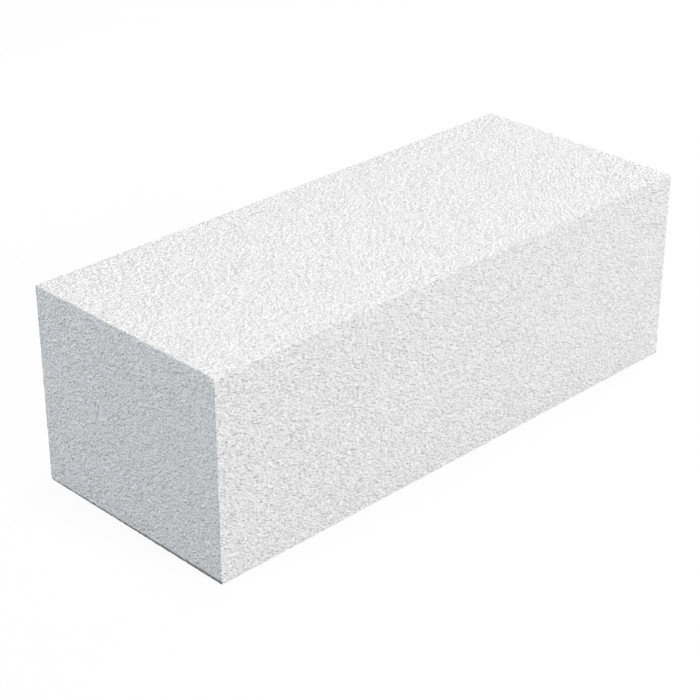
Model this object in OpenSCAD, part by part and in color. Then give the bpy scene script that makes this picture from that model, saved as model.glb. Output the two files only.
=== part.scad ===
// Solid wall block of autoclaved aerated concrete.
// It is one piece, cut from a larger cake by straight wires, so every face is flat and every
// arris is a straight line that handling has broken a little.
// The block lies on its lower bed face: length along X, wall thickness along Y, height along Z.
// The origin is the middle of the lower bed face.

/* [Block] */
// Length along the wall, from end face to end face
block_length = 600; // [250:5:650]
// Width across the wall, from side face to side face
block_width = 240; // [75:5:400]
// Height of one course, from bed face to bed face
block_height = 200; // [150:5:300]

/* [Arrises] */
// How much of each face is broken away along an edge
arris_break = 1; // [0.2:0.1:6]

/* [Hidden] */

// Outline of the block seen square on, with a 45 degree break across each corner
module broken_outline(across, up) {
  x = across / 2;
  y = up / 2;
  polygon([
    [x, arris_break - y],
    [x, y - arris_break],
    [x - arris_break, y],
    [arris_break - x, y],
    [-x, y - arris_break],
    [-x, arris_break - y],
    [arris_break - x, -y],
    [x - arris_break, -y],
  ]);
}

// What the outlines of the bed, side and end faces have in common
module block() {
  color("whitesmoke")
    translate([0, 0, block_height / 2])
      intersection() {
        linear_extrude(block_height, center = true)
          broken_outline(block_length, block_width);
        rotate([90, 0, 0])
          linear_extrude(block_width, center = true)
            broken_outline(block_length, block_height);
        rotate([90, 0, 90])
          linear_extrude(block_length, center = true)
            broken_outline(block_width, block_height);
      }
}

block();
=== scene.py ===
# %% [markdown]
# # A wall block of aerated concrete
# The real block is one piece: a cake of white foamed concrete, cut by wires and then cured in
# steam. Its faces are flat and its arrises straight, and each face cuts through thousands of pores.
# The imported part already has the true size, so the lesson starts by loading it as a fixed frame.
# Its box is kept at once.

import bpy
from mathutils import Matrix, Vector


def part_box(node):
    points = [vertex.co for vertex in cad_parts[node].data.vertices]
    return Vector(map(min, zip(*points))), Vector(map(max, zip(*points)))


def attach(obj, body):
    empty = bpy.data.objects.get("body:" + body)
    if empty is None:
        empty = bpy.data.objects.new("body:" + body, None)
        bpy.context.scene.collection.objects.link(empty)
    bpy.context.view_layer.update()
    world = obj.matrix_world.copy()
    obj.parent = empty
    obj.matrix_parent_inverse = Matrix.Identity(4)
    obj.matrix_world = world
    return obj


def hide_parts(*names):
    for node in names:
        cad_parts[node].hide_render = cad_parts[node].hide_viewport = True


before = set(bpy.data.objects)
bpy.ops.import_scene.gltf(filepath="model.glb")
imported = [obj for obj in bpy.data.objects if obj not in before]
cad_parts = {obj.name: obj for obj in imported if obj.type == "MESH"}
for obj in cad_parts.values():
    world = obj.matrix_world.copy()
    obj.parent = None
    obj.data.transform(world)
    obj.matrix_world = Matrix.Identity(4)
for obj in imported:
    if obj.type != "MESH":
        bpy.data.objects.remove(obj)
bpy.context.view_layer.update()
low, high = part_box("block")
print("block of", [round(side, 4) for side in high - low], "m")

# %% [markdown]
# ## Places for walls and pores
# A wire that is pulled through foamed concrete leaves a rough face: it cuts some of the round pores
# open, and the thin walls between them stay standing. A grid of points would show as rows, and points
# thrown blindly would lie in heaps. So many more places are tried than are needed, and each one that
# is kept strikes out all the others within a short reach. A k-d tree finds those neighbours quickly.

# %% Scatter points that keep their distance
import numpy as np
from mathutils.kdtree import KDTree

MM = 0.001
POINT_REACH = 1.93 * MM
TRIES_PER_SQUARE_METRE = 1.1e6
CLEAR_OF_ARRIS = 1.5 * MM
SEED = 240
rng = np.random.default_rng(SEED)


def scattered(half_u, half_v):
    """Random places on a face, no two nearer than POINT_REACH."""
    room = np.array([half_u, half_v]) - CLEAR_OF_ARRIS
    tries = rng.uniform(-room, room, (int(TRIES_PER_SQUARE_METRE * 4 * half_u * half_v), 2))
    tree = KDTree(len(tries))
    for index, place in enumerate(tries):
        tree.insert((*place, 0), index)
    tree.balance()
    kept = np.ones(len(tries), bool)
    for index, place in enumerate(tries):
        if kept[index]:
            for _, near, _ in tree.find_range((*place, 0), POINT_REACH):
                kept[near] = near == index
    return tries[kept]


print("points keep", round(POINT_REACH / MM, 2), "mm apart")

# %% [markdown]
# ## The points of one face
# Each scattered point gets a depth of its own. Most of them lie close under the face, where the wire
# left a wall, and some lie more than half a millimetre deep, at the bottom of a pore. Squaring a
# random number gives just that mixture.
# A row of points runs along the border of the face as well. It lies on the sharp edge, which the next
# face shares, and its points are knocked back a little, because a porous arris crumbles.

# %% Points of the ground and the border
ARRIS_STEP = 2.2 * MM
PORE_DEPTH = 0.7 * MM
CRUMBLE_DEPTH = 0.3 * MM

half = np.array(high - low) / 2
middle = np.array(high + low) / 2


def border(half_u, half_v):
    """Evenly spaced points along the edges of a face."""
    along_u = np.linspace(-half_u, half_u, round(2 * half_u / ARRIS_STEP) + 1)
    along_v = np.linspace(-half_v, half_v, round(2 * half_v / ARRIS_STEP) + 1)[1:-1]
    sides = [(u, end) for u in along_u for end in (-half_v, half_v)]
    sides += [(end, v) for v in along_v for end in (-half_u, half_u)]
    return np.array(sides)


def face_points(half_u, half_v):
    """Flat places on one face and how deep each of them lies below it."""
    ground = scattered(half_u, half_v)
    edge = border(half_u, half_v)
    pores = PORE_DEPTH * rng.uniform(size=len(ground)) ** 2
    crumbs = CRUMBLE_DEPTH * rng.uniform(size=len(edge))
    return np.concatenate([edge, ground]), np.concatenate([crumbs, pores])


print("a bed face has", len(border(half[0], half[1])), "points along its border")

# %% [markdown]
# ## Six faces become one closed skin
# Blender's Delaunay routine joins the points of a face with well shaped triangles. Each face is then
# set up on its side of the box. Neighbouring faces hold the same points along their common edge, so
# welding equal points closes the skin. The flat places are kept too, for the map that a bake needs.

# %% Triangulate the faces and weld them
from mathutils import Vector
from mathutils.geometry import delaunay_2d_cdt

TINY = 1e-7
WELD_DIGITS = 7
skin_points, skin_depths, skin_corners, skin_flat, skin_side = [], [], [], [], []
for axis in range(3):
    across, up = (axis + 1) % 3, (axis + 2) % 3
    for side in (-1, 1):
        flat, depth = face_points(half[across], half[up])
        triangles = np.array(delaunay_2d_cdt([Vector(p) for p in flat], [], [], 0, TINY)[2])
        points = np.empty((len(flat), 3))
        points[:, axis] = side * half[axis]
        points[:, across] = flat[:, 0]
        points[:, up] = flat[:, 1]
        skin_corners.append(triangles[:, ::side] + sum(map(len, skin_points)))
        skin_points.append(points)
        skin_depths.append(depth)
        skin_flat.append(flat)
        skin_side.append(np.full(len(triangles), len(skin_side)))

box_points, first, welded = np.unique(
    np.concatenate(skin_points).round(WELD_DIGITS), axis=0, return_index=True, return_inverse=True
)
flat_corners = np.concatenate(skin_corners)
corners = welded.reshape(-1)[flat_corners]
print(len(box_points), "points,", len(corners), "triangles")

# %% [markdown]
# ## Pits rather than slopes
# Two deep points that happen to be neighbours make a wide hollow, and cut concrete has few of those:
# it is flat as a whole and rough from grain to grain. A filter that keeps only the fine part of the
# roughness would help, and the triangles offer a simple one. The mean depth of a point's neighbours
# is the coarse part, so each depth is pushed away from that mean. No point may rise above the face.

# %% Push each depth away from its neighbours
PORE_PUSH = 0.6
depths = np.concatenate(skin_depths)[first]
ends = corners[:, (0, 1, 1, 2, 2, 0)].reshape(-1, 2)
around = np.bincount(ends[:, 0], depths[ends[:, 1]]) / np.bincount(ends[:, 0])
depths = np.maximum(depths + PORE_PUSH * (depths - around), 0)
print("pores up to", (depths.max() / MM).round(2), "mm deep, mean", (depths.mean() / MM).round(2), "mm")

# %% [markdown]
# ## Worn arrises
# A wire leaves a sharp arris, and handling soon breaks it: it ends up a little under a millimetre
# round, and never quite evenly. One upper corner of this block has had a harder knock and is rounder
# than the rest. A bevel would be too regular for that. Instead each point finds the nearest place on
# a smaller core box and moves to a set distance from it. On a face that changes nothing, along an
# edge it makes a quarter round and at a corner part of a ball, and noise in that distance is the
# wear. The same move sinks the pores, straight in from the surface.

# %% Round the arrises and sink the pores
from mathutils import noise

ARRIS_RADIUS = 0.8 * MM
ARRIS_WEAR = 0.35
WEAR_LENGTH = 6 * MM
KNOCK_RADIUS = 4.0 * MM
KNOCK_REACH = 8 * MM

wear = np.array([noise.noise(Vector(point) / WEAR_LENGTH) for point in box_points])
knocked_corner = half * (-1, -1, 1)
from_knock = np.linalg.norm(box_points - knocked_corner, axis=1)
radius = ARRIS_RADIUS * (1 + ARRIS_WEAR * wear)
radius += KNOCK_RADIUS * np.exp(-((from_knock / KNOCK_REACH) ** 2))
radius = radius[:, None]
core = np.clip(box_points, radius - half, half - radius)
outward = box_points - core
outward /= np.linalg.norm(outward, axis=1, keepdims=True)
skin = middle + core + outward * (radius - depths[:, None])
print("arris radius", (radius.min() / MM).round(2), "to", (radius.max() / MM).round(2), "mm")

# %% [markdown]
# ## The block as a Blender mesh
# The skin goes into one mesh object. Smooth shading would melt the grains together, so each small
# triangle stays flat, like a broken bit of wall. The object stands for the plain solid of the frame
# and rides on its only body.

# %% Make the mesh and tie it to the frame
import bpy

mesh = bpy.data.meshes.new("porous_block")
mesh.from_pydata(skin.tolist(), [], corners.tolist())
mesh.shade_flat()
block = bpy.data.objects.new("porous_block", mesh)
bpy.context.scene.collection.objects.link(block)
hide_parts("block")
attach(block, "root")
print("mesh valid:", not mesh.validate(verbose=False))

# %% [markdown]
# ## A flat pattern of the six faces
# A baked copy of the finish needs a map, and an automatic one would cut the rough skin into countless
# scraps. The six faces are flat as a whole, so they are laid out like the card of an unfolded box:
# the four long faces in a stack, and the two ends beside them.

# %% Lay the faces out on a map
MAP_GAP = 6 * MM
map_side = 4 * half[1] + 4 * half[2] + 5 * MAP_GAP
flat_places = np.concatenate(skin_flat)[flat_corners]
side_of = np.concatenate(skin_side)
stack = MAP_GAP
end_stack = MAP_GAP
map_places = np.empty_like(flat_places)
for number in range(len(skin_side)):
    axis = number // 2
    mine = side_of == number
    places = flat_places[mine]
    if axis == 1:
        places = places[:, :, ::-1] * (1, -1)
    size = 2 * np.array([half[1], half[2]] if axis == 0 else [half[0], half[3 - axis]])
    corner = np.array([2 * half[0] + 2 * MAP_GAP, end_stack] if axis == 0 else [MAP_GAP, stack])
    map_places[mine] = (places + size / 2 + corner) / map_side
    if axis == 0:
        end_stack += size[1] + MAP_GAP
    else:
        stack += size[1] + MAP_GAP
mesh.uv_layers.new(name="OFBake").uv.foreach_set("vector", map_places.ravel())
print("map spans", map_places.min().round(3), "to", map_places.max().round(3))

# %% [markdown]
# ## Shader maths as Python
# A finish is a graph of nodes. Written by hand, each sum needs a node, two links and two names. The
# small class below wraps a socket, so that plain expressions add the Math nodes and one method makes
# every other node: settings first, because some of them change the sockets, then values and links.

# %% A socket that can be calculated with
class Wire:
    """One output of a node, usable in Python expressions."""

    def __init__(self, tree, socket):
        self.tree = tree
        self.socket = socket

    @classmethod
    def node(cls, tree, kind, settings=None, sockets=None, output=0):
        """Add a node, set it up, feed its inputs and wrap one of its outputs."""
        made = tree.nodes.new(kind)
        for name, value in (settings or {}).items():
            setattr(made, name, value)
        for name, value in (sockets or {}).items():
            if isinstance(value, Wire):
                tree.links.new(value.socket, made.inputs[name])
            else:
                made.inputs[name].default_value = value
        return cls(tree, made.outputs[output])

    def maths(self, operation, first, second):
        """A Math node on two values, each a wire or a plain number."""
        return Wire.node(self.tree, "ShaderNodeMath", {"operation": operation}, {0: first, 1: second})

    def __add__(self, other):
        return self.maths("ADD", self, other)

    def __radd__(self, other):
        return self.maths("ADD", other, self)

    def __sub__(self, other):
        return self.maths("SUBTRACT", self, other)

    def __rsub__(self, other):
        return self.maths("SUBTRACT", other, self)

    def __mul__(self, other):
        return self.maths("MULTIPLY", self, other)

    def __rmul__(self, other):
        return self.maths("MULTIPLY", other, self)

    def __lt__(self, other):
        return self.maths("LESS_THAN", self, other)

    def __gt__(self, other):
        return self.maths("GREATER_THAN", self, other)


def new_material(name):
    """A node material with a single Principled shader."""
    material = bpy.data.materials.new(name)
    material.use_nodes = True
    return material, material.node_tree, material.node_tree.nodes["Principled BSDF"]


material, tree, concrete = new_material("wire_cut_concrete")
print("material", material.name, "starts with", len(tree.nodes), "nodes")

# %% [markdown]
# ## Grain drawn out by the wire
# Between the points of the mesh the real surface goes on: pores and grains down to the size of sand.
# They will come from patterns that fill space, and each pattern is read at coordinates. A wire doesn't
# only cut: it also drags the soft cake along a little, and on the long sides of this block the grain
# is drawn out level. A pattern gets longer where its coordinates run slower, and flatter where they
# run faster. So in a thin layer under the long sides they run slower along the block and faster upward.

# %% Coordinates for the patterns
WIRE_DRAG = 1.45
SKIN = 2 * MM
EVEN_PACE = (1, 1, 1)
DRAGGED_PACE = (1 / WIRE_DRAG, 1, WIRE_DRAG)
# A Mix node has sockets of its own for vectors and for colours: two inputs and a result each.
MIX_SOCKETS = {"VECTOR": (4, 5, 1), "RGBA": (6, 7, 2)}


def blend(tree, kind, share, first, second):
    """Two vectors or colours mixed: the first where the share is 0 and the second where it is 1."""
    one, other, result = MIX_SOCKETS[kind]
    sockets = {"Factor": share, one: first, other: second}
    return Wire.node(tree, "ShaderNodeMix", {"data_type": kind}, sockets, result)


place = Wire.node(tree, "ShaderNodeTexCoord", output="Object")
x, y, z = (
    Wire.node(tree, "ShaderNodeSeparateXYZ", None, {"Vector": place}, output) for output in "XYZ"
)
on_side = y * y > (half[1] - SKIN) ** 2
pace = blend(tree, "VECTOR", on_side, EVEN_PACE, DRAGGED_PACE)
cut_place = Wire.node(tree, "ShaderNodeVectorMath", {"operation": "MULTIPLY"}, {0: place, 1: pace})
print("grain on the long sides is drawn out", WIRE_DRAG, "times")

# %% [markdown]
# ## Pores and grains too fine for the mesh
# The fine pores and grains could be painted on each face, but a pattern that fills space needs no map
# and has no seam within a face. Here cells of the size of a pore and a soft noise of the size of a
# grain do that. A flat face slices through them at random, just as the wire does.

# %% Patterns that fill space
CELL_SIZE = 2.2 * MM
GRAIN_SIZE = 2.1 * MM
PORE_MIDDLE = 0.12
PORE_RIM = 0.55

from_cell = Wire.node(
    tree, "ShaderNodeTexVoronoi", {"voronoi_dimensions": "3D"},
    {"Vector": cut_place, "Scale": 1 / CELL_SIZE}, "Distance",
)
walls = Wire.node(
    tree, "ShaderNodeMapRange", {"interpolation_type": "SMOOTHSTEP"},
    {"Value": from_cell, "From Min": PORE_MIDDLE, "From Max": PORE_RIM},
)
grain = Wire.node(
    tree, "ShaderNodeTexNoise", {"noise_dimensions": "3D"},
    {"Vector": cut_place, "Scale": 1 / GRAIN_SIZE, "Detail": 0.0}, "Fac",
)
print("cells of", round(CELL_SIZE / MM, 1), "mm and grains of", round(GRAIN_SIZE / MM, 1), "mm")

# %% [markdown]
# ## The finish of cut aerated concrete
# The concrete is a dry, chalky white with no gloss to speak of. A pore looks a little darker than the
# walls, because light has a harder time getting out of it, and here that shade is painted into the
# colour. So the same two patterns set the colour and the relief: walls and grains are white and stand
# up, and pores and low grains lie low and are given a painted shade. A Bump node tilts the light on
# each grain, which costs no further triangles.

# %% Colour and relief from the patterns
CHALK_WHITE = (0.98, 0.98, 0.98, 1)
# The grey of pores and low grains is painted shade: the colour is darkened where the relief lies low.
PORE_PAINTED_SHADE = (0.67, 0.67, 0.67, 1)
GRAIN_DARK = 0.25
GRAIN_PALE = 0.55
GRAIN_IN_PAINTED_SHADE = 0.6
GRAIN_IN_RELIEF = 0.85
RELIEF_DEPTH = 2.7 * MM
CHALK_ROUGHNESS = 0.95
CHALK_GLOSS = 0.2

unshaded_grain = Wire.node(
    tree, "ShaderNodeMapRange", None,
    {"Value": grain, "From Min": GRAIN_DARK, "From Max": GRAIN_PALE},
)
# Share of plain white: low in pores and low grains, where shade is painted into the colour.
unshaded_share = walls * (1 - GRAIN_IN_PAINTED_SHADE) + unshaded_grain * GRAIN_IN_PAINTED_SHADE
colour_with_pore_shade = blend(tree, "RGBA", unshaded_share, PORE_PAINTED_SHADE, CHALK_WHITE)
relief = walls * (1 - GRAIN_IN_RELIEF) + grain * GRAIN_IN_RELIEF
bump = Wire.node(
    tree, "ShaderNodeBump", None, {"Strength": 1.0, "Distance": RELIEF_DEPTH, "Height": relief}
)
tree.links.new(bump.socket, concrete.inputs["Normal"])
concrete.inputs["Roughness"].default_value = CHALK_ROUGHNESS
concrete.inputs["Specular IOR Level"].default_value = CHALK_GLOSS
mesh.materials.append(material)
print("pores are", round(PORE_PAINTED_SHADE[0] / CHALK_WHITE[0], 2), "times as bright as the walls")

# %% [markdown]
# ## Painted shade at the foot of one end
# Along the foot of the left end runs a thin dark line of painted shade, where the block meets the
# floor. It is about three millimetres high at the front corner and dwindles towards the back. A strip
# of mesh would lie on the surface like tape, so the line is part of the colour: a point gets the
# painted shade where it lies below the top of the line, and the grain makes that top ragged. Only
# points close to the end face count.

# %% Painted shade along the foot
# This dark colour is painted shade along the foot of the end, where it meets the floor.
FOOT_SHADE = (0.33, 0.325, 0.32, 1)
FOOT_SHADE_HEIGHT = 2.5 * MM
FOOT_SHADE_SLOPE = 0.9 * MM
FOOT_SHADE_RAGGED = 1.5 * MM
FOOT_SHADE_BLUR = 0.4 * MM
FOOT_SHADE_INTO_PORES = 0.9 * MM
GRAIN_MIDDLE = 0.5

line_top = low.z + FOOT_SHADE_HEIGHT - y * (FOOT_SHADE_SLOPE / half[1])
below_line = Wire.node(
    tree, "ShaderNodeMapRange", None,
    {
        "Value": line_top - z + (grain - GRAIN_MIDDLE) * FOOT_SHADE_RAGGED,
        "From Min": -FOOT_SHADE_BLUR,
        "From Max": FOOT_SHADE_BLUR,
    },
)
on_left_end = x < low.x + FOOT_SHADE_INTO_PORES
colour = blend(tree, "RGBA", below_line * on_left_end, colour_with_pore_shade, FOOT_SHADE)
tree.links.new(colour.socket, concrete.inputs["Base Color"])
print("finish has", len(tree.nodes), "nodes")

# %% [markdown]
# ## A white floor
# The block lies on a wide floor, which keeps the block's shadow. To the camera the floor is nearly
# pure white: there it is mostly a plain white glow, with some of its real, lit surface mixed in for
# the shadow. The light that it throws back up is that of a duller floor, so that the upright faces
# stay darker than the top and the block doesn't drown in white.

# %% Floor
FLOOR_SIZE = 40.0
FLOOR_BOUNCE = (0.3, 0.3, 0.3, 1)
FLOOR_GLOW = 0.9
WHITE = (1, 1, 1, 1)


def seen_directly(tree):
    """1 for a ray that shows a surface: straight, mirrored or through glass. 0 for one that lights."""
    camera, glossy, through = (
        Wire.node(tree, "ShaderNodeLightPath", output=f"Is {kind} Ray")
        for kind in ("Camera", "Glossy", "Transmission")
    )
    return camera + glossy + through


reach = FLOOR_SIZE / 2
square = [(-1, -1), (1, -1), (1, 1), (-1, 1)]
floor_mesh = bpy.data.meshes.new("studio_floor")
floor_mesh.from_pydata([(u * reach, v * reach, low.z) for u, v in square], [], [(0, 1, 2, 3)])
floor = bpy.data.objects.new("studio_floor", floor_mesh)
bpy.context.scene.collection.objects.link(floor)

floor_material, tree, paper = new_material("studio_floor")
seen = seen_directly(tree)
paper_colour = blend(tree, "RGBA", seen, FLOOR_BOUNCE, WHITE)
tree.links.new(paper_colour.socket, paper.inputs["Base Color"])
paper.inputs["Roughness"].default_value = 1.0
paper.inputs["Specular IOR Level"].default_value = 0.0
glow = Wire.node(tree, "ShaderNodeEmission", None, {"Color": WHITE, "Strength": 1.0})
lit_and_glowing = Wire.node(
    tree, "ShaderNodeMixShader", None, {0: seen * FLOOR_GLOW, 1: Wire(tree, paper.outputs[0]), 2: glow}
)
tree.links.new(lit_and_glowing.socket, tree.nodes["Material Output"].inputs["Surface"])
floor_mesh.materials.append(floor_material)
print("floor of", FLOOR_SIZE, "m at height", round(low.z, 4), "m")

# %% [markdown]
# ## Soft studio light
# Rough concrete shows its grain only when light rakes across it, so no lamp stands at the camera.
# Four round lamps hang four metres away. A low one in front lights the long side, and one on the right
# rakes across the top. A weaker one on the left, a little cool, keeps the end in soft shade, and a
# slightly warm one overhead lifts the top. A dim pale surround fills in the rest.
# Levels are shares of white: one of 0.5 brings a white face that looks straight at the lamp to half.

# %% Lamps
import math

LAMP_DISTANCE = 4.0
LAMP_WIDTH = 1.75
NEUTRAL = (1, 1, 1)
COOL = (0.925, 1.0, 1.065)
WARM = (1.07, 1.0, 0.98)


def soft_lamp(name, bearing, height, level, tint=NEUTRAL):
    """A round lamp aimed at the origin; its bearing runs in degrees from -Y towards +X."""
    lamp = bpy.data.lights.new(name, "AREA")
    lamp.shape = "DISK"
    lamp.size = LAMP_WIDTH
    lamp.energy = level * (math.pi * LAMP_DISTANCE) ** 2
    lamp.color = tint
    holder = bpy.data.objects.new(name, lamp)
    holder.rotation_euler = (math.radians(90 - height), 0, math.radians(bearing))
    holder.location = holder.rotation_euler.to_matrix() @ Vector((0, 0, LAMP_DISTANCE))
    bpy.context.scene.collection.objects.link(holder)
    print(name, "at", [round(number, 2) for number in holder.location])


soft_lamp("front_lamp", bearing=8, height=16, level=0.698)
soft_lamp("right_lamp", bearing=100, height=16, level=0.66)
soft_lamp("left_lamp", bearing=-100, height=25, level=0.392, tint=COOL)
soft_lamp("top_lamp", bearing=0, height=90, level=0.316, tint=WARM)

# %% [markdown]
# ## A low strip for the back
# The back faces away from the four lamps and would look like grey stone. A fifth high lamp would light
# it, but it would also shine across the top and wash out the grain there. So a low strip stands on
# the floor behind the block. It is no longer and no taller than the block, so it reaches only the back.

# %% Strip lamp
STRIP_DISTANCE = 1.0
STRIP_LEVEL = 0.19
STRIP_SHARE_OF_HEIGHT = 0.85

strip = bpy.data.lights.new("back_strip", "AREA")
strip.shape = "RECTANGLE"
strip.size = 2 * half[0]
strip.size_y = 2 * half[2] * STRIP_SHARE_OF_HEIGHT
strip.energy = STRIP_LEVEL * (math.pi * STRIP_DISTANCE) ** 2
strip_holder = bpy.data.objects.new("back_strip", strip)
# An area lamp shines down. Tipped up it faces +Y, and half a turn points it at the block.
strip_holder.rotation_euler = (math.radians(90), 0, math.radians(180))
strip_holder.location = (middle[0], high.y + STRIP_DISTANCE, low.z + strip.size_y / 2)
bpy.context.scene.collection.objects.link(strip_holder)
print("back_strip of", round(strip.size, 2), "by", round(strip.size_y, 2), "m")

# %% [markdown]
# ## The surround
# The world gives light from all sides and is also what shows behind the floor. As light it is dim. To
# the camera it is plain white, so that the floor has no visible end.

# %% Dim light that looks white
SURROUND_LEVEL = 0.24

world = bpy.data.worlds.new("studio")
bpy.context.scene.world = world
world.use_nodes = True
tree = world.node_tree
surround = tree.nodes["Background"]
surround.inputs["Color"].default_value = WHITE
surround.inputs["Strength"].default_value = SURROUND_LEVEL
backdrop = Wire.node(tree, "ShaderNodeBackground", None, {"Color": WHITE, "Strength": 1.0})
shown = Wire.node(
    tree, "ShaderNodeMixShader", None,
    {0: seen_directly(tree), 1: Wire(tree, surround.outputs[0]), 2: backdrop},
)
tree.links.new(shown.socket, tree.nodes["World Output"].inputs["Surface"])
print("surround at", SURROUND_LEVEL, "of white")

# %% [markdown]
# ## The camera
# The camera looks at the block's left end and long side from above, through a fairly long lens. Near
# edges still look longer than far ones, but only a little. It is placed by the bearing, height and
# distance from which it looks at one point in the block, because those can be read off a picture.

# %% Camera
BEARING = math.radians(-44.509)
HEIGHT = math.radians(27.954)
DISTANCE = 1.8372
AIM = Vector((-0.02968, 0, 0.08017))
SENSOR = 36
LENS = 98.893

camera = bpy.data.cameras.new("camera")
camera.sensor_width = SENSOR
camera.lens = LENS
viewer = bpy.data.objects.new("camera", camera)
back = Vector((
    math.sin(BEARING) * math.cos(HEIGHT),
    -math.cos(BEARING) * math.cos(HEIGHT),
    math.sin(HEIGHT),
))
viewer.location = AIM + back * DISTANCE
viewer.rotation_euler = back.to_track_quat("Z", "Y").to_euler()
bpy.context.scene.collection.objects.link(viewer)
bpy.context.scene.camera = viewer
bpy.context.scene.view_settings.view_transform = "Standard"
print("camera at", [round(number, 3) for number in viewer.location])
